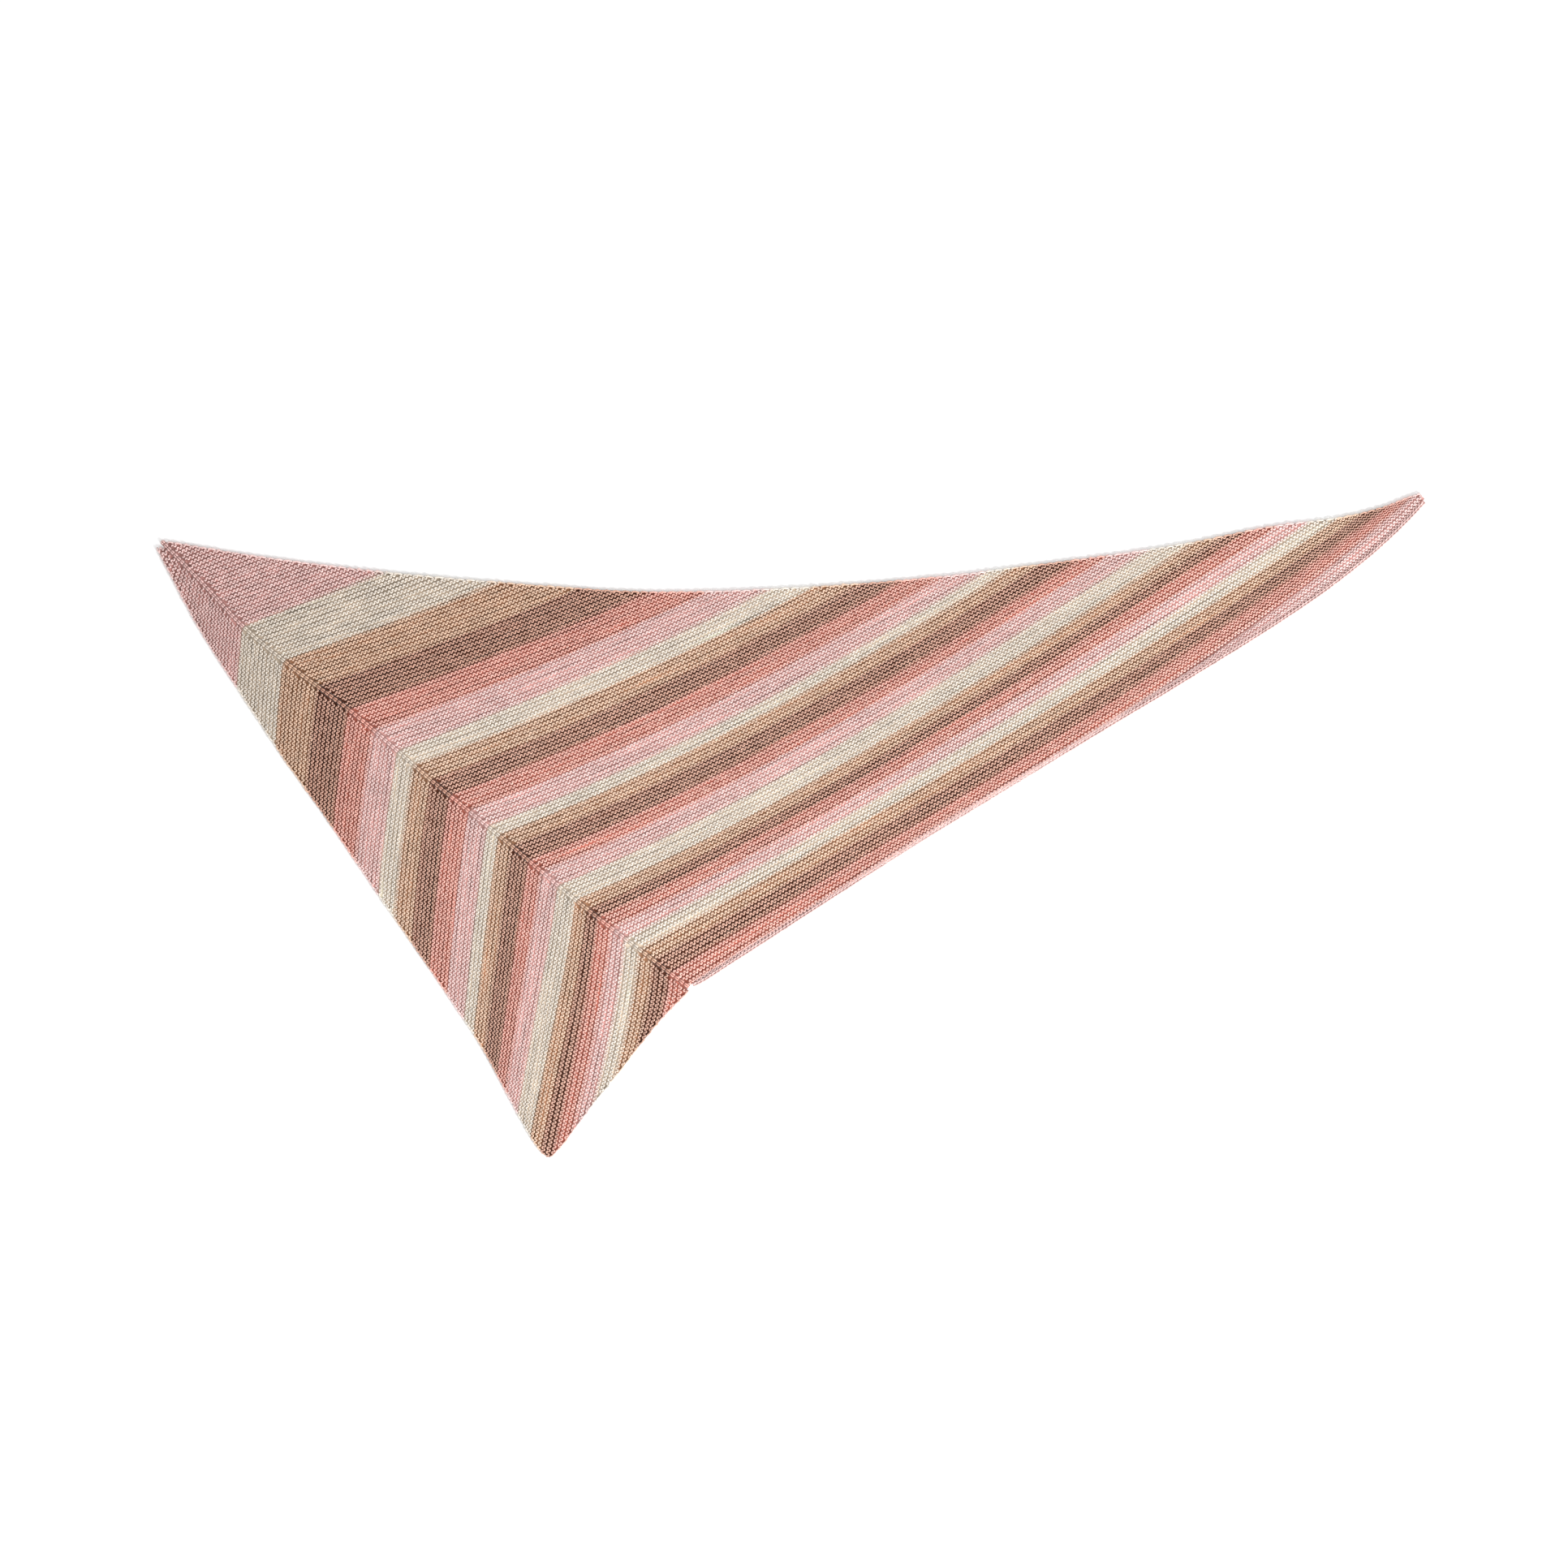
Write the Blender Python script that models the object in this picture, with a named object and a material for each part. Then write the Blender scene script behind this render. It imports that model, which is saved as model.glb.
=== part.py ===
# Knitted shawl, laid flat: an uneven triangle in garter stitch, worked in striped cotton yarn.
# A raised chain of centre stitches, the spine, runs from the narrow left tip to the notch.
# Rows leave it on both sides: the wide wing to the long top edge, the narrow wing to the left edge.
# The last row of the wide wing ends in a cast-off chain. Metres, +Z up, underside on Z = 0.

import bmesh
import bpy
import numpy as np

MM = 0.001

# Knitting
RIDGES = 138          # garter ridges that start on the spine, from the left tip to the notch
LAST_RIDGE = 141.5    # the wide wing's last rows start on its cast-off edge
FIRST_LINE = 0.5      # the first ridge's crest, which ends each wing at the left tip
HALF_RIDGE = 0.5      # a ridge is a crest at the half number and a furrow at the whole one
WALL = 2.1 * MM       # cloth between the underside and the bottom of a furrow
RIDGE_RISE = 0.9 * MM
EDGE_THICKNESS = 1.6 * MM
EDGE_ROLL = 3.0 * MM  # width over which the cloth thins to its free edge
WIDE_COLUMNS = 7
NARROW_COLUMNS = 4

# Seams
SEAM_GAP = 0.3 * MM
SPINE_WIDTH = 5.0 * MM
SPINE_SIDE = 1.9 * MM
SPINE_CREST = 3.4 * MM
SPINE_PINCH = 2.8 * MM
SPINE_ENDS = (-0.8, 138.2)
CHAIN_WIDTH = 3.6 * MM
CHAIN_SIDE = 1.5 * MM
CHAIN_CREST = 2.9 * MM
CHAIN_STEP = 9.0 * MM
CHAIN_START = 5.0 * MM  # free of the spine's end

# Middle of the laid-out shawl, in the millimetres of the tables below
MIDDLE = (1.3, -0.4)

# Centre line of the spine: ridge, x, y
SPINE = (
    (0, -695, 312),
    (12, -652, 268),
    (25, -607, 220),
    (38, -553, 175),
    (52, -490, 128),
    (74, -399, 50),
    (95, -311, -22),
    (108, -258, -67),
    (118, -216, -101),
    (128, -165, -140),
    (138, -114, -179),
)

# Starts of the wide wing's last rows, along its cast-off edge: ridge, x, y
LAST_STARTS = (
    (138, -111, -178),
    (139, 112, -34),
    (140, 229, 38),
    (141, 364, 120),
    (141.5, 408, 146),
)

# Rows of the wide wing: ridge, heading at the spine in degrees, end x, end y, heading at the end
WIDE_ROWS = (
    (0, 20, -693, 315, 12),
    (12, 21, -582, 297, 20),
    (25, 21, -452, 281, 22),
    (38, 19, -305, 268, 23),
    (52, 19, -158, 259, 24),
    (65, 20, -24, 262, 27),
    (74, 20, 75, 268, 29),
    (84, 20, 168, 276, 31),
    (95, 21, 272, 289, 33),
    (104, 22, 357, 300, 33),
    (113, 23, 445, 314, 33),
    (121, 26, 535, 332, 34),
    (128, 29, 612, 342, 35),
    (134, 31, 662, 355, 38),
    (138, 33, 688, 365, 42),
    (140, 33, 697, 367, 46),
    (141.5, 32, 702, 362, 49),
)

# Rows of the narrow wing, the same columns, with the headings measured up towards the spine
NARROW_ROWS = (
    (0, 80, -704, 308, 72),
    (12, 82, -660, 224, 82),
    (25, 84, -615, 153, 86),
    (38, 82, -564, 76, 86),
    (52, 81, -508, -3, 86),
    (65, 81, -458, -77, 86),
    (74, 81, -421, -130, 86),
    (84, 81, -382, -187, 85),
    (95, 82, -342, -248, 83),
    (104, 82, -315, -298, 82),
    (110, 82, -298, -330, 80),
    (114, 83, -286, -350, 79),
    (116.5, 83, -276, -363, 78),
    (118, 84, -268, -368, 78),
    (119.5, 84, -258, -359, 77),
    (122, 84, -239, -335, 76),
    (125, 85, -216, -305, 75),
    (128, 85, -192, -275, 74),
    (131, 86, -169, -245, 73),
    (134, 88, -146, -217, 72),
    (138, 89, -114, -184, 72),
)

# Yarns: base colour in linear light
YARNS = {
    "pink_cotton": (0.62, 0.33, 0.34),
    "cream_cotton": (0.67, 0.60, 0.52),
    "camel_cotton": (0.51, 0.32, 0.21),
    "brown_cotton": (0.26, 0.145, 0.11),
    "coral_cotton": (0.62, 0.21, 0.165),
}
YARN_ROUGHNESS = 0.85

# First ridge of each stripe; the five yarns follow each other in the order above
STRIPE_STARTS = (
    0, 25, 36, 44.5, 52,
    58.5, 65, 69.5, 74, 79,
    84, 89, 92, 95.5, 100,
    103.5, 108, 113, 116, 118.5,
    121.5, 124.5, 127.5, 130.5, 134,
    138,
)


def smooth(table, column, ridge):
    """One column of a table at any ridge, on a smooth curve through its rows."""
    rows = np.array(table, float)
    knots = rows[:, 0]
    values = rows[:, column]
    slopes = np.gradient(values, knots)
    ridge = np.asarray(ridge, float)
    i = np.clip(np.searchsorted(knots, ridge, side="right") - 1, 0, len(knots) - 2)
    step = knots[i + 1] - knots[i]
    t = (ridge - knots[i]) / step
    return hermite(t, values[i], values[i + 1], slopes[i] * step, slopes[i + 1] * step)


def hermite(t, start, end, leaving, arriving):
    """A cubic from start to end with the given tangents."""
    return (
        (2 * t**3 - 3 * t**2 + 1) * start
        + (3 * t**2 - 2 * t**3) * end
        + (t**3 - 2 * t**2 + t) * leaving
        + (t**3 - t**2) * arriving
    )


def place(table, columns, ridge):
    """Two columns of a table, in millimetres, as points in metres about the shawl's middle."""
    points = np.stack([smooth(table, column, ridge) for column in columns], -1)
    return (points - np.array(MIDDLE)) * MM


def left_of(points):
    """Unit vectors to the left of a line of points."""
    along = np.gradient(points, axis=0)
    along /= np.linalg.norm(along, axis=1, keepdims=True)
    return np.stack([-along[:, 1], along[:, 0]], 1)


def spine_side(ridge, distance):
    """Points beside the spine's centre line, to its left (the wide wing) where distance is positive."""
    step = 0.25
    around = place(SPINE, (1, 2), np.asarray(ridge)[:, None] + np.array([-step, 0, step]))
    along = around[:, 2] - around[:, 0]
    along /= np.linalg.norm(along, axis=1, keepdims=True)
    return around[:, 1] + distance * np.stack([-along[:, 1], along[:, 0]], 1)


def row_starts(ridge, side):
    """Where rows leave the spine, or the cast-off edge on the wide wing's last ridges."""
    starts = spine_side(np.minimum(ridge, RIDGES), side * (SPINE_WIDTH / 2 + SEAM_GAP))
    late = place(LAST_STARTS, (1, 2), np.maximum(ridge, RIDGES))
    return np.where((ridge > RIDGES)[:, None], late, starts)


def wing_rows(table, side, ridge, columns):
    """Grid of points in plan: a line for each ridge number, running from the spine to the free edge."""
    starts = row_starts(ridge, side)
    ends = place(table, (2, 3), ridge)
    span = np.linalg.norm(ends - starts, axis=1)

    def tangents(column):
        heading = np.radians(smooth(table, column, ridge))
        return side * span[:, None] * np.stack([np.cos(heading), np.sin(heading)], 1)

    # The last column but one lies where the cloth starts to thin
    roll = np.minimum(EDGE_ROLL / span, 1 / (2 * columns))
    even = np.linspace(0, 1, columns - 1)[None, :] * (1 - roll)[:, None]
    t = np.concatenate([even, np.ones((len(ridge), 1))], 1)
    parts = (starts, ends, tangents(1), tangents(4))
    return hermite(t[:, :, None], *(part[:, None, :] for part in parts))


def wing_surface(table, side, last, columns):
    """Top of a wing: its rows, raised to a crest on each ridge and thinner along its free edges."""
    ridge = np.arange(FIRST_LINE, last + HALF_RIDGE / 2, HALF_RIDGE)
    plan = wing_rows(table, side, ridge, columns)
    crest = np.abs(ridge % 1 - HALF_RIDGE) < HALF_RIDGE / 2
    height = np.repeat(np.where(crest, WALL + RIDGE_RISE, WALL)[:, None], columns, 1)
    height[:, -1] = EDGE_THICKNESS + RIDGE_RISE / 2 * crest
    height[0] = height[-1] = EDGE_THICKNESS
    return ridge, np.dstack([plan, height])


def strip(right, left, side_height, crest_heights):
    """Top of a narrow rounded strip: its right side, its crest and its left side."""
    sides = np.full(len(right), side_height)
    lines = [
        np.column_stack([right, sides]),
        np.column_stack([(right + left) / 2, crest_heights]),
        np.column_stack([left, sides]),
    ]
    return np.stack(lines, 1)


def spine_surface():
    """The chain of centre stitches: a crest at each ridge, pinched in between."""
    ridge = np.arange(SPINE_ENDS[0], SPINE_ENDS[1], HALF_RIDGE)
    right = spine_side(ridge, -SPINE_WIDTH / 2)
    left = spine_side(ridge, SPINE_WIDTH / 2)
    crest = np.where(np.arange(len(ridge)) % 2 == 0, SPINE_CREST, SPINE_PINCH)
    return ridge, strip(right, left, SPINE_SIDE, crest)


def cast_off_surface(wide):
    """The chain along the wide wing's lower edge, a seam's gap outside the wing's own points."""
    ridge, top = wide
    border = np.concatenate([top[ridge >= RIDGES, 0, :2], top[-1, 1:, :2]])
    along = np.concatenate([[0], np.cumsum(np.linalg.norm(np.diff(border, axis=0), axis=1))])
    at = np.linspace(CHAIN_START, along[-1], int(along[-1] / CHAIN_STEP))
    edge = np.stack([np.interp(at, along, border[:, axis]) for axis in (0, 1)], 1)
    outward = -left_of(edge)
    inner = edge + outward * SEAM_GAP
    outer = inner + outward * CHAIN_WIDTH
    crest = np.full(len(edge), CHAIN_CREST)
    crest[[0, -1]] = CHAIN_SIDE
    return np.full(len(edge), float(RIDGES)), strip(outer, inner, CHAIN_SIDE, crest)


def yarn_material(name):
    """Plain cotton in one of the stripe colours."""
    material = bpy.data.materials.new(name)
    material.use_nodes = True
    shader = material.node_tree.nodes["Principled BSDF"]
    shader.inputs["Base Color"].default_value = (*YARNS[name], 1)
    shader.inputs["Roughness"].default_value = YARN_ROUGHNESS
    shader.inputs["Metallic"].default_value = 0
    material.diffuse_color = (*YARNS[name], 1)
    return material


def stripe_at(ridge):
    """Which of the five yarns is in use at a ridge."""
    stripe = np.searchsorted(STRIPE_STARTS, np.maximum(ridge, 0) + 1e-6, side="right") - 1
    return int(stripe) % len(YARNS)


def knitted_piece(name, ridge, surface, collection, materials):
    """A solid under a grid of top points, with upright sides and one flat underside."""
    lines, columns = surface.shape[:2]
    mesh = bpy.data.meshes.new(name)
    bm = bmesh.new()
    bmesh.ops.create_grid(bm, x_segments=columns - 1, y_segments=lines - 1, size=1)
    bm.verts.ensure_lookup_table()
    order = sorted(bm.verts, key=lambda vert: (round(vert.co.y, 6), round(vert.co.x, 6)))
    for vert, point in zip(order, surface.reshape(-1, 3)):
        vert.co = point
    line_of = {vert: index // columns for index, vert in enumerate(order)}
    for face in bm.faces:
        face.material_index = stripe_at(ridge[min(line_of[vert] for vert in face.verts)])
        face.smooth = True
    rim = [edge for edge in bm.edges if edge.is_boundary]
    extruded = bmesh.ops.extrude_edge_only(bm, edges=rim)["geom"]
    lower = [item for item in extruded if isinstance(item, bmesh.types.BMVert)]
    for vert in lower:
        vert.co.z = 0
    rim = [edge for edge in bm.edges if edge.is_boundary]
    underside = bmesh.ops.contextual_create(bm, geom=rim)["faces"]
    bmesh.ops.triangulate(bm, faces=underside)
    bmesh.ops.recalc_face_normals(bm, faces=bm.faces)
    bm.to_mesh(mesh)
    bm.free()
    for material in materials:
        mesh.materials.append(material)
    mesh.set_sharp_from_angle(angle=np.radians(50))
    collection.objects.link(bpy.data.objects.new(name, mesh))


def main():
    for leftover in list(bpy.data.objects):
        bpy.data.objects.remove(leftover)
    collection = bpy.data.collections.new("knitted_shawl")
    bpy.context.scene.collection.children.link(collection)
    materials = [yarn_material(name) for name in YARNS]
    wide = wing_surface(WIDE_ROWS, 1, LAST_RIDGE, WIDE_COLUMNS)
    narrow = wing_surface(NARROW_ROWS, -1, RIDGES, NARROW_COLUMNS)
    pieces = {
        "wide_wing": wide,
        "narrow_wing": narrow,
        "spine": spine_surface(),
        "cast_off_edge": cast_off_surface(wide),
    }
    for name, (ridge, surface) in pieces.items():
        knitted_piece(name, ridge, surface, collection, materials)


main()
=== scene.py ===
# Knitted shawl laid flat, garter stitch in striped plied cotton.
# Every stitch is a small loop of yarn: one loop is modelled, then copied along the knitted rows.
import math

import bpy
import numpy as np
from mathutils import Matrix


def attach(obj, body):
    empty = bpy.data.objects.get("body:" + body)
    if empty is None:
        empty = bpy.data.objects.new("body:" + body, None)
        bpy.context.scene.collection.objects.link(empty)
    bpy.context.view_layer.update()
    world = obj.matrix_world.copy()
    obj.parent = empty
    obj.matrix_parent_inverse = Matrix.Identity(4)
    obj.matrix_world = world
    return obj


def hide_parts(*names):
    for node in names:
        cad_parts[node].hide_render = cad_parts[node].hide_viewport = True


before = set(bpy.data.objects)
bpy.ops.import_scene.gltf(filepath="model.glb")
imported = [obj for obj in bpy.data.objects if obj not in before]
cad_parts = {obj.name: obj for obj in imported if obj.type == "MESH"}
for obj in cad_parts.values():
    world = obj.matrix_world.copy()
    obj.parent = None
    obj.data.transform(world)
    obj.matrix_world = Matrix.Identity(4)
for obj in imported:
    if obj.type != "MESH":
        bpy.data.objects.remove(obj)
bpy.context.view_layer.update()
print("frame loaded")

mm = 0.001

# the same guide lines as the part: ridge number, then millimetres and degrees
layout = {
    "middle": (1.3, -0.4),
    "ridges": 138,
    "spineWidth": 5.0,
    "seamGap": 0.3,
    "spine": (
        (0, -695, 312), (12, -652, 268), (25, -607, 220), (38, -553, 175), (52, -490, 128),
        (74, -399, 50), (95, -311, -22), (108, -258, -67), (118, -216, -101),
        (128, -165, -140), (138, -114, -179),
    ),
    "lastStarts": (
        (138, -111, -178), (139, 112, -34), (140, 229, 38), (141, 364, 120), (141.5, 408, 146),
    ),
    # ridge, heading at the spine, end x, end y, heading at the end
    "wide": (
        (0, 20, -693, 315, 12), (12, 21, -582, 297, 20), (25, 21, -452, 281, 22),
        (38, 19, -305, 268, 23), (52, 19, -158, 259, 24), (65, 20, -24, 262, 27),
        (74, 20, 75, 268, 29), (84, 20, 168, 276, 31), (95, 21, 272, 289, 33),
        (104, 22, 357, 300, 33), (113, 23, 445, 314, 33), (121, 26, 535, 332, 34),
        (128, 29, 612, 342, 35), (134, 31, 662, 355, 38), (138, 33, 688, 365, 42),
        (140, 33, 697, 367, 46), (141.5, 32, 702, 362, 49),
    ),
    "narrow": (
        (0, 80, -704, 308, 72), (12, 82, -660, 224, 82), (25, 84, -615, 153, 86),
        (38, 82, -564, 76, 86), (52, 81, -508, -3, 86), (65, 81, -458, -77, 86),
        (74, 81, -421, -130, 86), (84, 81, -382, -187, 85), (95, 82, -342, -248, 83),
        (104, 82, -315, -298, 82), (110, 82, -298, -330, 80), (114, 83, -286, -350, 79),
        (116.5, 83, -276, -363, 78), (118, 84, -268, -368, 78), (119.5, 84, -258, -359, 77),
        (122, 84, -239, -335, 76), (125, 85, -216, -305, 75), (128, 85, -192, -275, 74),
        (131, 86, -169, -245, 73), (134, 88, -146, -217, 72), (138, 89, -114, -184, 72),
    ),
}


def hermite(t, start, end, leaving, arriving):
    return ((2 * t**3 - 3 * t**2 + 1) * start + (3 * t**2 - 2 * t**3) * end
            + (t**3 - 2 * t**2 + t) * leaving + (t**3 - t**2) * arriving)


def smoothColumn(table, column, ridge):
    rows = np.array(table, float)
    knots, values = rows[:, 0], rows[:, column]
    slopes = np.gradient(values, knots)
    ridge = np.asarray(ridge, float)
    i = np.clip(np.searchsorted(knots, ridge, side="right") - 1, 0, len(knots) - 2)
    step = knots[i + 1] - knots[i]
    t = (ridge - knots[i]) / step
    return hermite(t, values[i], values[i + 1], slopes[i] * step, slopes[i + 1] * step)


def guidePoint(name, columns, ridge):
    points = np.stack([smoothColumn(layout[name], column, ridge) for column in columns], -1)
    return (points - np.array(layout["middle"])) * mm


def turnLeft(way):
    way = way / np.linalg.norm(way, axis=-1, keepdims=True)
    return np.stack([-way[..., 1], way[..., 0]], -1)


def besideSpine(ridge, distance):
    ridge = np.asarray(ridge, float)
    way = guidePoint("spine", (1, 2), ridge + 0.25) - guidePoint("spine", (1, 2), ridge - 0.25)
    return guidePoint("spine", (1, 2), ridge) + distance * turnLeft(way)


def rowPoints(wing, ridge, t):
    # t runs from 0 at the spine to 1 at the free edge
    ridge, t = np.broadcast_arrays(np.asarray(ridge, float), np.asarray(t, float))
    side = 1 if wing == "wide" else -1
    inset = (layout["spineWidth"] / 2 + layout["seamGap"]) * mm
    starts = besideSpine(np.minimum(ridge, layout["ridges"]), side * inset)
    if wing == "wide":
        late = guidePoint("lastStarts", (1, 2), np.maximum(ridge, layout["ridges"]))
        starts = np.where((ridge > layout["ridges"])[..., None], late, starts)
    ends = guidePoint(wing, (2, 3), ridge)
    span = side * np.linalg.norm(ends - starts, axis=-1)[..., None]
    headings = [np.radians(smoothColumn(layout[wing], column, ridge)) for column in (1, 4)]
    leaving, arriving = (span * np.stack([np.cos(a), np.sin(a)], -1) for a in headings)
    return hermite(t[..., None], starts, ends, leaving, arriving)


def ridgeLine(wing, ridge, samples=300):
    # the middle of a ridge: points, unit ways along and towards later rows, rows' spacing, length so far
    t = np.linspace(0, 1, samples)
    points = rowPoints(wing, ridge, t)
    step = rowPoints(wing, ridge + 0.02, t) - rowPoints(wing, ridge - 0.02, t)
    along = np.gradient(points, axis=0)
    along /= np.linalg.norm(along, axis=1, keepdims=True)
    later = np.stack([-along[:, 1], along[:, 0]], 1) * (-1 if wing == "wide" else 1)
    spacing = np.abs((step * later).sum(1)) / 0.04
    reach = np.concatenate([[0], np.cumsum(np.linalg.norm(np.diff(points, axis=0), axis=1))])
    return points, along, later, spacing, reach


# the yarn, dyed in five colours that follow each other as it is knitted
yarn = {
    "colours": {
        "pink": "#FBDEDA", "ivory": "#F5ECE1", "camel": "#F4D5BD", "brown": "#E2B6A2",
        "coral": "#FDC8BB",
    },
    # first ridge of each length of colour, in the order above
    "changes": (
        0, 25, 36, 44.5, 52, 58.5, 65, 69.5, 74, 79, 84, 89, 92, 95.5, 100, 103.5, 108, 113,
        116, 118.5, 121.5, 124.5, 127.5, 130.5, 134, 138,
    ),
    "changeWander": 0.1,     # rows by which a change may come sooner or later
    "marledRows": 1.3,       # rows over which the plies change one after another
    "unevenDye": 0.05,
    # painted shade in the yarn colour: the narrow wing darker for its rows turned across the light, and the first
    # ridges darker and richer, far from the key light
    "wingPaintedShade": {"wide": 1.0, "narrow": 0.93},
    "deepStart": (70, 0.22, 0.06),   # painted shade: ridges until it is gone, how much richer and how much darker
    "narrowShare": 0.25,     # of a row's yarn
    "twistMm": 2.6,          # from one slanting ply to the next
    "seed": 11,
}


def linear(code):
    channels = [int(code[i:i + 2], 16) / 255 for i in (1, 3, 5)]
    return [c / 12.92 if c <= 0.04045 else ((c + 0.055) / 1.055) ** 2.4 for c in channels]


palette = np.array([linear(code) for code in yarn["colours"].values()])
dice = np.random.default_rng(yarn["seed"])
changeShift = dice.uniform(-0.5, 0.5, len(yarn["changes"])) * yarn["changeWander"]
changeRows = 2 * np.array(yarn["changes"]) + changeShift
changeRows[0] = -9       # before the first row, so that the first length has no change at its start


# the yarn's colour for a row, with painted shade over the first ridges
def yarnColourWithShade(row, dice):
    # row counts knitted rows, two a ridge, with the fraction of the row already knitted
    length = np.clip(np.searchsorted(changeRows, row, side="right") - 1, 0, len(changeRows) - 1)
    nearest = np.abs(row[..., None] - changeRows).argmin(-1)
    into = (row - changeRows[nearest]) / yarn["marledRows"] + 0.5
    plies = np.clip(np.round(4 * np.clip(into, 0, 1) + dice.uniform(-0.6, 0.6, row.shape)), 0, 4) / 4
    plies = np.where(nearest == 0, 1, plies)
    before, after = palette[(nearest - 1) % 5], palette[nearest % 5]
    marled = before + (after - before) * plies[..., None]
    plain = np.abs(into - 0.5) > 0.7
    colour = np.where(plain[..., None], palette[length % 5], marled)
    # painted shade: the first ridges, where less of the key light falls, are made richer and darker in colour
    ridges, richer, darker = yarn["deepStart"]
    early = np.clip(1 - row / 2 / ridges, 0, 1)[..., None]
    colour = colour ** (1 + richer * early) * (1 - darker * early)
    return colour * (1 + yarn["unevenDye"] * dice.normal(0, 1, row.shape))[..., None], length % 5


def rowNumber(wing, ridge, line, fraction):
    # the row runs from the narrow wing's edge to the wide wing's and the next one back
    share = yarn["narrowShare"]
    place = share + (1 - share) * fraction if wing == "wide" else share * (1 - fraction)
    row = 2 * np.floor(ridge) + line
    return row + np.where(line == 1, place, 1 - place)


# one stitch, as it shows on the knitted face: the head of one row's loop and the foot of the next row's
stitch = {
    "pitch": 4.57,
    "ridgePitch": 4.68,      # the ridge spacing that the loop below is drawn for
    # side, towards later rows, height and heading of the yarn's middle, in mm and degrees
    "rings": (
        (-1.45, -0.50, 1.50, 80), (-1.12, 0.55, 2.50, 62), (0.0, 1.36, 2.40, 0),
        (1.12, 0.55, 2.50, -62), (1.45, -0.50, 1.50, -80),
    ),
    "yarnWidth": 1.8,
    "yarnHeight": 1.9,
    "wander": 0.10,          # mm by which a loop lies off its place
    "unevenSize": 0.06,
    "edge": 1.3,             # mm kept free at a row's ends
    "seed": 4,
}


def modelLoop(rings, width, height):
    # a bean with four sides, laid along X and pulled into an arch ring by ring
    bpy.ops.object.select_all(action="DESELECT")
    bpy.ops.mesh.primitive_uv_sphere_add(segments=4, ring_count=len(rings) - 1, radius=1)
    loop = bpy.context.object
    bpy.ops.object.mode_set(mode="EDIT")
    bpy.ops.transform.rotate(value=math.pi / 2, orient_axis="Y", center_override=(0, 0, 0))
    bpy.ops.mesh.select_all(action="DESELECT")
    bpy.ops.object.mode_set(mode="OBJECT")
    stations = [-math.cos(math.pi * i / (len(rings) - 1)) for i in range(len(rings))]
    ringOf = [min(range(len(rings)), key=lambda i: abs(v.co.x - stations[i])) for v in loop.data.vertices]
    around = [math.atan2(v.co.y, v.co.z) for v in loop.data.vertices]
    for ring, (side, later, lift, heading) in enumerate(rings):
        for vert in loop.data.vertices:
            vert.select = ringOf[vert.index] == ring
        bpy.ops.object.mode_set(mode="EDIT")
        centre = (stations[ring], 0, 0)
        if 0 < ring < len(rings) - 1:
            wide = math.sin(math.pi * ring / (len(rings) - 1))
            bpy.ops.transform.resize(value=(1, width / 2 / wide, height / 2 / wide), center_override=centre)
        bpy.ops.transform.rotate(value=-math.radians(heading), orient_axis="Z", center_override=centre)
        bpy.ops.transform.translate(value=(side - stations[ring], later, lift))
        bpy.ops.mesh.select_all(action="DESELECT")
        bpy.ops.object.mode_set(mode="OBJECT")
    places = np.array([v.co for v in loop.data.vertices])
    faces = [list(face.vertices) for face in loop.data.polygons]
    middles = np.array(rings, float)[:, :3]
    reach = np.concatenate([[0], np.cumsum(np.linalg.norm(np.diff(middles, axis=0), axis=1))])
    bpy.data.objects.remove(loop)
    return {"places": places, "faces": faces, "along": reach[ringOf], "around": np.array(around) * width / 2}


def layLoops(line, loop, at, stretch=1.0, spread=1.0, half=1, wander=0.0, uneven=0.0, dice=None):
    # copies of one loop along a line; half is -1 for a loop turned half round
    points, along, later, spacing, reach = line
    count = len(at)
    at, stretch, spread = (np.broadcast_to(np.asarray(x, float), count)[:, None] for x in (at, stretch, spread))
    shift = dice.normal(0, wander, (3, count, 1)) if wander else np.zeros((3, count, 1))
    size = 1 + (dice.normal(0, uneven, (count, 1)) if uneven else 0)
    where = at + (half * loop["places"][None, :, 0] * stretch * size + shift[0]) * mm
    inside = np.clip(where, 0, reach[-1])
    across = (half * loop["places"][None, :, 1] * spread * size + shift[1]) * mm
    plan = np.empty(where.shape + (2,))
    for axis in (0, 1):
        ahead = np.interp(inside, reach, along[:, axis])
        aside = np.interp(inside, reach, later[:, axis])
        plan[..., axis] = np.interp(inside, reach, points[:, axis]) + ahead * (where - inside) + aside * across
    height = (loop["places"][None, :, 2] + shift[2]) * mm + 0 * where
    return np.concatenate([plan, height[..., None]], -1)


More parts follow.
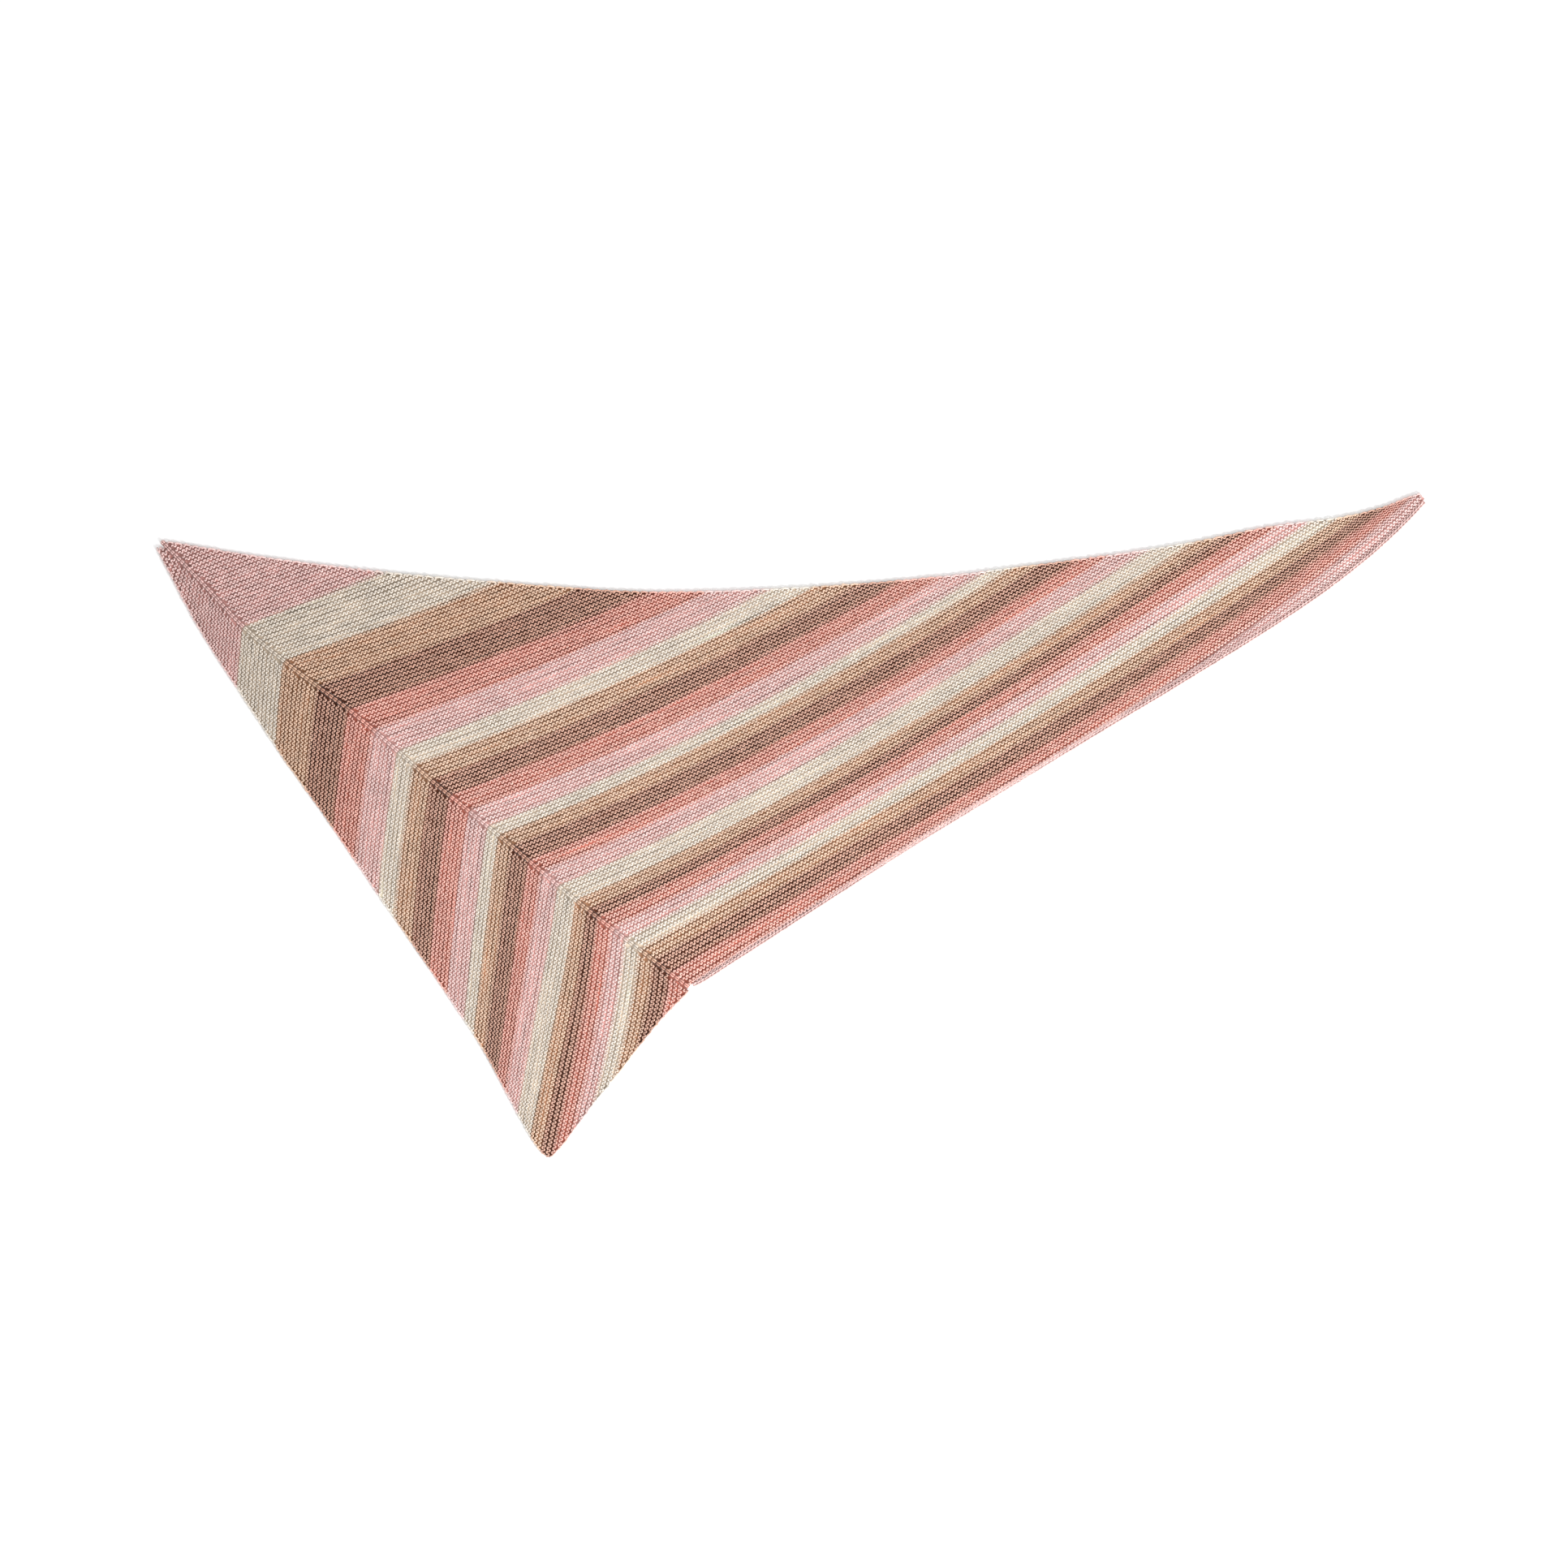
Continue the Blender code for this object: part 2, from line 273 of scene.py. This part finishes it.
def yarnPiece(name, loop, batches, material):
    # batches of (places, colours, chance): one mesh of many separate loops
    places = np.concatenate([batch[0] for batch in batches])
    colours = np.concatenate([batch[1] for batch in batches])
    chance = np.concatenate([batch[2] for batch in batches])
    count, size = places.shape[:2]
    flat = np.concatenate([np.array(face) for face in loop["faces"]])
    sides = np.array([len(face) for face in loop["faces"]])
    corners = (flat[None] + size * np.arange(count)[:, None]).ravel()
    totals = np.tile(sides, count)
    mesh = bpy.data.meshes.new(name)
    mesh.vertices.add(count * size)
    mesh.vertices.foreach_set("co", places.astype(np.float32).ravel())
    mesh.loops.add(len(corners))
    mesh.loops.foreach_set("vertex_index", corners.astype(np.int32))
    mesh.polygons.add(len(totals))
    mesh.polygons.foreach_set("loop_start", (np.cumsum(totals) - totals).astype(np.int32))
    mesh.update(calc_edges=True)
    mesh.polygons.foreach_set("use_smooth", np.ones(len(totals), bool))
    # the colour of each loop, with the painted shade it carries
    dye = np.ones((count, size, 4), np.float32)
    dye[..., :3] = np.clip(colours, 0, 1)[:, None]
    mesh.attributes.new("dye", "FLOAT_COLOR", "POINT").data.foreach_set("color", dye.ravel())
    way = np.empty((count, size, 3), np.float32)
    way[..., 0] = loop["along"] + 7 * chance[:, None]
    way[..., 1] = loop["around"]
    way[..., 2] = chance[:, None]
    mesh.attributes.new("yarnWay", "FLOAT_VECTOR", "POINT").data.foreach_set("vector", way.ravel())
    mesh.materials.append(material)
    piece = bpy.data.objects.new(name, mesh)
    bpy.context.collection.objects.link(piece)
    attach(piece, "root")
    return piece


def node(material, kind, settings=(), **links):
    # adds a node; settings set its properties or unlinked inputs, links name the outputs that feed it
    made = material.node_tree.nodes.new(kind)
    for key, value in dict(settings).items():
        if isinstance(key, str) and hasattr(made, key):
            setattr(made, key, value)
        else:
            made.inputs[key].default_value = value
    for key, output in links.items():
        spot = int(key[2:]) if key.startswith("in") and key[2:].isdigit() else key.replace("_", " ")
        material.node_tree.links.new(output, made.inputs[spot])
    return made


cotton = {
    "roughness": 0.82,
    "sheen": 0.25,
    "sheenRoughness": 0.45,
    "specular": 0.30,
    "plyDepth": 0.22,        # mm
    "fuzzScaleMm": 0.35,
    "innerPaintedShade": 1.35,      # painted shade: how much of its colour the yarn inside the cloth keeps
    "innerShadeDepth": 2.2,       # how much richer that colour grows between the loops, as painted shade
    "innerShadeFall": 3.2,        # and how much more of it the darker dyes lose
    "innerRoughness": 0.95,
    "innerSpecular": 0.1,
    "innerFuzzMm": 1.2,
    "innerTone": (0.75, 1.15),
    "innerBumpMm": 0.4,
    "bumpStrength": 0.5,
    "patchMm": 9,            # size of the patches where the dye took unevenly
    "patchTone": (0.90, 1.08),
    # painted shade in the grooves between plies
    "grooveTone": 0.88,
}


def pliedCotton():
    # soft-spun cotton of four plies: dull, with the twist showing as slanting ridges and a little fuzz
    material = bpy.data.materials.new("pliedCotton")
    material.use_nodes = True
    shader = material.node_tree.nodes["Principled BSDF"]
    shader.inputs["Roughness"].default_value = cotton["roughness"]
    shader.inputs["Sheen Weight"].default_value = cotton["sheen"]
    shader.inputs["Sheen Roughness"].default_value = cotton["sheenRoughness"]
    shader.inputs["Specular IOR Level"].default_value = cotton["specular"]
    dye = node(material, "ShaderNodeAttribute", {"attribute_name": "dye"})
    way = node(material, "ShaderNodeAttribute", {"attribute_name": "yarnWay"})
    place = node(material, "ShaderNodeTexCoord")
    split = node(material, "ShaderNodeSeparateXYZ", in0=way.outputs["Vector"])
    # plies: slanting ridges, one each twistMm along the yarn
    turn = 2 * math.pi / yarn["twistMm"]
    slant = node(material, "ShaderNodeMath", {"operation": "MULTIPLY", 1: turn}, in0=split.outputs[0])
    wrap = node(material, "ShaderNodeMath", {"operation": "MULTIPLY_ADD", 1: turn * 0.9},
                in0=split.outputs[1], in2=slant.outputs[0])
    plies = node(material, "ShaderNodeMath", {"operation": "SINE"}, in0=wrap.outputs[0])
    fuzz = node(material, "ShaderNodeTexNoise",
                {"Scale": 1000 / cotton["fuzzScaleMm"], "Detail": 2.0, "Roughness": 0.6},
                Vector=place.outputs["Object"])
    relief = node(material, "ShaderNodeMath", {"operation": "MULTIPLY_ADD", 1: 0.5},
                  in0=plies.outputs[0], in2=fuzz.outputs["Fac"])
    bump = node(material, "ShaderNodeBump",
                {"Strength": cotton["bumpStrength"], "Distance": cotton["plyDepth"] * mm}, Height=relief.outputs[0])
    material.node_tree.links.new(bump.outputs["Normal"], shader.inputs["Normal"])
    # the dye takes a little unevenly along the yarn, and the grooves between plies are darkened with painted shade
    patches = node(material, "ShaderNodeTexNoise", {"Scale": 1000 / cotton["patchMm"], "Detail": 2.0},
                   Vector=place.outputs["Object"])
    low, high = cotton["patchTone"]
    tone = node(material, "ShaderNodeMapRange", {"From Min": 0.25, "From Max": 0.75, "To Min": low, "To Max": high},
                Value=patches.outputs["Fac"])
    groove = node(material, "ShaderNodeMapRange",
                  {"From Min": -1.0, "From Max": 0.4, "To Min": cotton["grooveTone"], "To Max": 1.0},
                  Value=plies.outputs[0])
    unevenDyeAndGrooveShade = node(material, "ShaderNodeMath", {"operation": "MULTIPLY"}, in0=tone.outputs[0], in1=groove.outputs[0])
    colour = node(material, "ShaderNodeVectorMath", {"operation": "SCALE"},
                  in0=dye.outputs["Color"], Scale=unevenDyeAndGrooveShade.outputs[0])
    material.node_tree.links.new(colour.outputs[0], shader.inputs["Base Color"])
    return material


def innerCotton():
    # the same cotton where it lies inside the cloth between the loops, its colour darkened with painted shade
    material = bpy.data.materials.new("innerCotton")
    material.use_nodes = True
    shader = material.node_tree.nodes["Principled BSDF"]
    shader.inputs["Roughness"].default_value = cotton["innerRoughness"]
    shader.inputs["Specular IOR Level"].default_value = cotton["innerSpecular"]
    dye = node(material, "ShaderNodeAttribute", {"attribute_name": "dye"})
    place = node(material, "ShaderNodeTexCoord")
    fuzz = node(material, "ShaderNodeTexNoise", {"Scale": 1000 / cotton["innerFuzzMm"], "Detail": 2.0},
                Vector=place.outputs["Object"])
    low, high = cotton["innerTone"]
    tone = node(material, "ShaderNodeMapRange", {"To Min": low, "To Max": high}, Value=fuzz.outputs["Fac"])
    colour = node(material, "ShaderNodeVectorMath", {"operation": "SCALE"},
                  in0=dye.outputs["Color"], Scale=tone.outputs[0])
    material.node_tree.links.new(colour.outputs[0], shader.inputs["Base Color"])
    bump = node(material, "ShaderNodeBump",
                {"Strength": cotton["bumpStrength"], "Distance": cotton["innerBumpMm"] * mm},
                Height=fuzz.outputs["Fac"])
    material.node_tree.links.new(bump.outputs["Normal"], shader.inputs["Normal"])
    return material


yarnMaterial = pliedCotton()
shadedInnerMaterial = innerCotton()
headLoop = modelLoop(stitch["rings"], stitch["yarnWidth"], stitch["yarnHeight"])
print("one loop modelled,", len(headLoop["faces"]), "faces")


def turnedFaces(loop):
    # for loops laid on a line whose later side is on its right, which mirrors them
    return {**loop, "faces": [face[::-1] for face in loop["faces"]]}


def knitWing(wing, lastRidge):
    dice = np.random.default_rng(stitch["seed"] + len(wing))
    batches = {colour: [] for colour in range(len(palette))}
    pitch, drift, before = stitch["pitch"] * mm, 0.0, None
    for ridge in range(int(lastRidge)):
        line = ridgeLine(wing, ridge + 0.5)
        points, along, later, spacing, reach = line
        if before is not None:
            drift += (points[0] - before) @ along[0]
        before = points[0]
        for row, half in ((0, -1), (1, 1)):
            at = np.arange(0, reach[-1] + pitch, pitch) - drift % pitch + row * pitch / 2
            at = at[(at > stitch["edge"] * mm) & (at < reach[-1] - stitch["edge"] * mm)]
            if not len(at):
                continue
            tight = np.interp(at, reach, spacing) / (stitch["ridgePitch"] * mm)
            places = layLoops(line, headLoop, at, 1.0, tight, half,
                              stitch["wander"], stitch["unevenSize"], dice)
            fraction = at / reach[-1]
            colours, dyes = yarnColourWithShade(rowNumber(wing, ridge, row, fraction), dice)
            # painted shade: the narrow wing's colour is darkened for the light that falls across its rows
            colours = colours * yarn["wingPaintedShade"][wing]
            chance = dice.random(len(at))
            for colour in range(len(palette)):
                mine = dyes == colour
                if mine.any():
                    batches[colour].append((places[mine], colours[mine], chance[mine]))
    pieces = []
    loop = turnedFaces(headLoop) if wing == "wide" else headLoop
    triangles = sum(len(face) - 2 for face in loop["faces"])
    for colour, name in enumerate(yarn["colours"]):
        pieces.append(yarnPiece(wing + "Stitches_" + name, loop, batches[colour], yarnMaterial))
        print(pieces[-1].name, sum(len(batch[0]) for batch in batches[colour]) * triangles, "triangles")
    return pieces


# the cloth inside the stitches: a thin closed sheet on the solid's own outline, raised on each ridge
cloth = {
    "columns": {"wide": 15, "narrow": 8},
    "lastRidge": {"wide": 141.5, "narrow": 138},
    "firstLine": 0.5,
    "furrow": 1.3,           # mm above the table
    "crest": 2.1,
    "rim": 1.2,
    "smoothAngle": 50,
}


def closedSheet(name, top, ridges, nodeName):
    # a grid of top points with upright sides and a flat underside, coloured as the yarn inside the cloth, darkened
    # with painted shade between the loops
    lines, columns = top.shape[:2]
    under = top * (1, 1, 0)
    count = lines * columns
    grid = np.arange(count).reshape(lines, columns)
    upper = np.stack([grid[:-1, :-1], grid[:-1, 1:], grid[1:, 1:], grid[1:, :-1]], -1).reshape(-1, 4)
    lower = upper[:, ::-1] + count
    rim = np.concatenate([grid[0, :-1], grid[:-1, -1], grid[-1, :0:-1], grid[:0:-1, 0]])
    beyond = np.roll(rim, -1)
    wall = np.stack([rim, rim + count, beyond + count, beyond], -1)
    mesh = bpy.data.meshes.new(name)
    places = np.concatenate([top.reshape(-1, 3), under.reshape(-1, 3)])
    mesh.from_pydata(places.tolist(), [], np.concatenate([upper, lower, wall]).tolist())
    mesh.update()
    piece = bpy.data.objects.new(name, mesh)
    bpy.context.collection.objects.link(piece)
    bpy.ops.object.select_all(action="DESELECT")
    piece.select_set(True)
    bpy.context.view_layer.objects.active = piece
    bpy.ops.object.mode_set(mode="EDIT")
    bpy.ops.mesh.select_all(action="SELECT")
    bpy.ops.mesh.normals_make_consistent(inside=False)
    bpy.ops.object.mode_set(mode="OBJECT")
    bpy.ops.object.shade_smooth_by_angle(angle=math.radians(cloth["smoothAngle"]))
    plain, _ = yarnColourWithShade(2 * np.repeat(ridges, columns), np.random.default_rng(1))
    dye = np.ones((2 * count, 4), np.float32)
    # painted shade: the sheet between the loops takes the yarn colour made darker and richer, as the gaps would be
    # in shade
    paintedGapShade = cotton["innerPaintedShade"] * plain.mean(1, keepdims=True) ** cotton["innerShadeFall"]
    dye[:, :3] = np.tile(np.minimum(plain ** cotton["innerShadeDepth"] * paintedGapShade, 1), (2, 1))
    mesh.attributes.new("dye", "FLOAT_COLOR", "POINT").data.foreach_set("color", dye.ravel())
    mesh.materials.append(shadedInnerMaterial)
    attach(piece, "root")
    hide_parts(nodeName)
    return piece


def clothSheet(wing):
    ridges = np.arange(cloth["firstLine"], cloth["lastRidge"][wing] + 0.25, 0.5)
    t = np.concatenate([np.linspace(0, 1, cloth["columns"][wing] - 1) * 0.985, [1]])
    plan = rowPoints(wing, ridges[:, None], t[None, :])
    crest = (np.abs(ridges % 1 - 0.5) < 0.1)[:, None]
    height = np.where(crest, cloth["crest"], cloth["furrow"]) * mm + 0 * plan[..., 0]
    height[:, -1] = height[0] = height[-1] = cloth["rim"] * mm
    return closedSheet(wing + "Cloth", np.dstack([plan, height]), ridges, wing + "_wing")


# the spine and the cast-off edge: chains of slender loops, each drawn out of the one before
chain = {
    # along, aside, height and heading of one strand of a link
    "rings": (
        (-3.5, 0.35, 1.90, 25), (-1.9, 0.90, 2.75, 18), (0.2, 1.20, 3.10, 4),
        (2.2, 1.05, 2.80, -20), (3.5, 0.45, 1.80, -40),
    ),
    "castOffRings": (
        (-2.9, 0.30, 2.10, 28), (-1.6, 0.85, 2.75, 24), (0.1, 1.35, 3.00, 14),
        (1.7, 1.55, 2.85, -4), (2.9, 1.15, 1.90, -34),
    ),
    "yarnWidth": 1.8,
    "yarnHeight": 1.7,
    "castOffYarn": 2.3,
    "linkLength": 6.6,
    "richer": 1.25,
    "tone": 0.90,            # painted shade: the long strands lie flat and catch more light than the arches, so their colour is darkened
    "wander": 0.05,
    "unevenSize": 0.03,
    "borderStep": 4,         # mm between the points that the border is traced with
    "lastRow": 280,          # the knitted row that gives the border its colour
    "lastRidgeSpread": 0.85,
    "spineEnds": (-0.7, 138.1),
    "castOffPitch": 4.7,
    "castOffWidth": 3.6,
    "castOffSpread": 0.85,
    "castOffInset": 1.7,     # mm from the border to the last ridge, which follows it to the notch
    "core": (1.2, 2.0),      # height at the sides and the middle, mm
    "seed": 21,
}


def lineAlong(points, side=1):
    along = np.gradient(points, axis=0)
    along /= np.linalg.norm(along, axis=1, keepdims=True)
    aside = side * np.stack([-along[:, 1], along[:, 0]], 1)
    reach = np.concatenate([[0], np.cumsum(np.linalg.norm(np.diff(points, axis=0), axis=1))])
    return points, along, aside, np.full(len(points), stitch["ridgePitch"] * mm), reach


def mirrored(loop):
    return {**turnedFaces(loop), "places": loop["places"] * (1, -1, 1)}


def chainPieces(name, strand, line, at, stretch, spread, ridges):
    dice = np.random.default_rng(chain["seed"])
    made = []
    for side, loop in (("Left", strand), ("Right", mirrored(strand))):
        places = layLoops(line, loop, at, stretch, spread, 1, chain["wander"], chain["unevenSize"], dice)
        colours, _ = yarnColourWithShade(2 * ridges, dice)
        # painted shade: the chain's colour is darkened by tone, as its flat strands catch more light
        colours = colours ** chain["richer"] * chain["tone"]
        made.append(yarnPiece(name + side, loop, [(places, colours, dice.random(len(at)))], yarnMaterial))
    return made


def coreSheet(name, right, left, ridges, nodeName):
    side, middle = (height * mm for height in chain["core"])
    tops = [np.column_stack([line, np.full(len(line), height)])
            for line, height in ((right, side), ((right + left) / 2, middle), (left, side))]
    return closedSheet(name, np.stack(tops, 1), ridges, nodeName)


def spineChain():
    ridges = np.arange(chain["spineEnds"][0], chain["spineEnds"][1], 0.25)
    half = layout["spineWidth"] / 2 * mm
    core = coreSheet("spineCore", besideSpine(ridges, -half), besideSpine(ridges, half),
                     ridges, "spine")
    line = lineAlong(besideSpine(ridges, 0))
    links = np.arange(0, layout["ridges"] + 1) - 0.5
    at = np.interp(links, ridges, line[4])
    stretch = np.gradient(at) / (chain["linkLength"] * mm)
    strand = modelLoop(chain["rings"], chain["yarnWidth"], chain["yarnHeight"])
    return [core] + chainPieces("spineChain", strand, line, at, stretch, 1.0, links)


def castOffChain():
    last = cloth["lastRidge"]["wide"]
    border = np.concatenate([
        rowPoints("wide", np.linspace(layout["ridges"], last, 60)[:-1], np.zeros(59)),
        rowPoints("wide", np.full(60, last), np.linspace(0, 1, 60)),
    ])
    even = lineAlong(border)[4]
    step = chain["borderStep"] * mm
    at = np.arange(step, even[-1], step)
    border = np.stack([np.interp(at, even, border[:, axis]) for axis in (0, 1)], 1)
    outward = -lineAlong(border)[2]
    inner = border + outward * layout["seamGap"] * mm
    outer = inner + outward * chain["castOffWidth"] * mm
    ridges = np.full(len(border), chain["lastRow"] / 2)
    core = coreSheet("castOffCore", outer, inner, ridges, "cast_off_edge")
    line = lineAlong((inner + outer) / 2)
    at = np.arange(1.5 * mm, line[4][-1], chain["castOffPitch"] * mm)
    strand = modelLoop(chain["castOffRings"], chain["castOffYarn"], chain["yarnHeight"])
    links = np.full(len(at), chain["lastRow"] / 2)
    made = [core] + chainPieces("castOffChain", strand, line, at, 1.0, chain["castOffSpread"],
                                links)
    # the last ridge, along the whole border
    dice = np.random.default_rng(chain["seed"] + 1)
    line = lineAlong(border - outward * chain["castOffInset"] * mm)
    batches = []
    for row, half in ((0, 1), (1, -1)):
        at = np.arange(3.0 * mm + row * stitch["pitch"] / 2 * mm, line[4][-1] - 2 * mm, stitch["pitch"] * mm)
        places = layLoops(line, headLoop, at, 1.0, chain["lastRidgeSpread"], half,
                          stitch["wander"], stitch["unevenSize"], dice)
        colours, _ = yarnColourWithShade(np.full(len(at), float(chain["lastRow"])), dice)
        # painted shade: the last ridge's colour is darkened by the chain's tone
        batches.append((places, colours ** chain["richer"] * chain["tone"], dice.random(len(at))))
    made.append(yarnPiece("lastRidge", headLoop, batches, yarnMaterial))
    return made


# the free edges: the last stitch of each ridge turns round the edge as a small bump
selvedge = {
    "inset": 1.3,            # mm from the edge to the middle of a bump
    "spread": 0.95,
    "fill": 1.242,           # length of a bump against the room that it has
    "samples": 900,
    "wander": 0.12,
    "unevenSize": 0.08,
    "seed": 33,
}


def selvedgeLoops(wing):
    dice = np.random.default_rng(selvedge["seed"])
    ridges = np.linspace(0.4, cloth["lastRidge"][wing] - 0.1, selvedge["samples"])
    edge = rowPoints(wing, ridges, np.ones(selvedge["samples"]))
    side = 1 if wing == "wide" else -1
    line = lineAlong(edge - side * lineAlong(edge)[2] * selvedge["inset"] * mm, side)
    links = np.arange(0, int(cloth["lastRidge"][wing])) + 0.5
    at = np.interp(links, ridges, line[4])
    stretch = np.gradient(at) / (stitch["pitch"] * mm) * selvedge["fill"]
    places = layLoops(line, headLoop, at, stretch, selvedge["spread"], 1,
                      selvedge["wander"], selvedge["unevenSize"], dice)
    colours, _ = yarnColourWithShade(2 * links + (1 if wing == "wide" else 0), dice)
    loop = turnedFaces(headLoop) if wing == "narrow" else headLoop
    # painted shade: the narrow wing's edge is darkened like its rows
    colours = colours * yarn["wingPaintedShade"][wing]
    piece = yarnPiece(wing + "Selvedge", loop, [(places, colours, dice.random(len(at)))], yarnMaterial)
    return piece


for wing in ("wide", "narrow"):
    clothSheet(wing)
    knitWing(wing, cloth["lastRidge"][wing])
    selvedgeLoops(wing)
spineChain()
castOffChain()
print("wings knitted")

# pale floor, soft light from the lower right, camera straight above as the photograph is taken
studio = {
    "frameWidth": 1.7388,
    "centre": (-0.0094, 0.0463),
    "cameraHeight": 5.0,
    "floorColour": "#FDFDFD",
    "keyPower": 108,
    "keySize": 1.1,
    "keyPlace": (2.0, -2.0, 1.6),
    "fillStrength": 0.88,
}

meshes = [piece.data for piece in bpy.data.objects if piece.type == "MESH"]
print(sum(len(face.vertices) - 2 for mesh in meshes for face in mesh.polygons), "triangles before the studio")
bpy.ops.object.select_all(action="DESELECT")
bpy.ops.mesh.primitive_plane_add(size=8)
floor = bpy.context.object
floor.name = "floor"
floorPaint = bpy.data.materials.new("matteWhiteBoard")
floorPaint.use_nodes = True
floorShader = floorPaint.node_tree.nodes["Principled BSDF"]
floorShader.inputs["Base Color"].default_value = (*linear(studio["floorColour"]), 1)
floorShader.inputs["Roughness"].default_value = 0.9
floor.data.materials.append(floorPaint)

world = bpy.data.worlds.new("softStudio")
world.use_nodes = True
world.node_tree.nodes["Background"].inputs["Color"].default_value = (1, 1, 1, 1)
world.node_tree.nodes["Background"].inputs["Strength"].default_value = studio["fillStrength"]
bpy.context.scene.world = world

key = bpy.data.lights.new("key", "AREA")
key.energy, key.size = studio["keyPower"], studio["keySize"]
keyLamp = bpy.data.objects.new("key", key)
keyLamp.location = studio["keyPlace"]
keyLamp.rotation_euler = (-keyLamp.location).to_track_quat("-Z", "Y").to_euler()
bpy.context.collection.objects.link(keyLamp)

lens = bpy.data.cameras.new("above")
lens.sensor_width = 36
lens.lens = 36 * studio["cameraHeight"] / studio["frameWidth"]
camera = bpy.data.objects.new("above", lens)
camera.location = (*studio["centre"], studio["cameraHeight"])
bpy.context.collection.objects.link(camera)
bpy.context.scene.camera = camera
bpy.context.scene.view_settings.view_transform = "Standard"
bpy.context.scene.view_settings.look = "None"
print("studio ready")
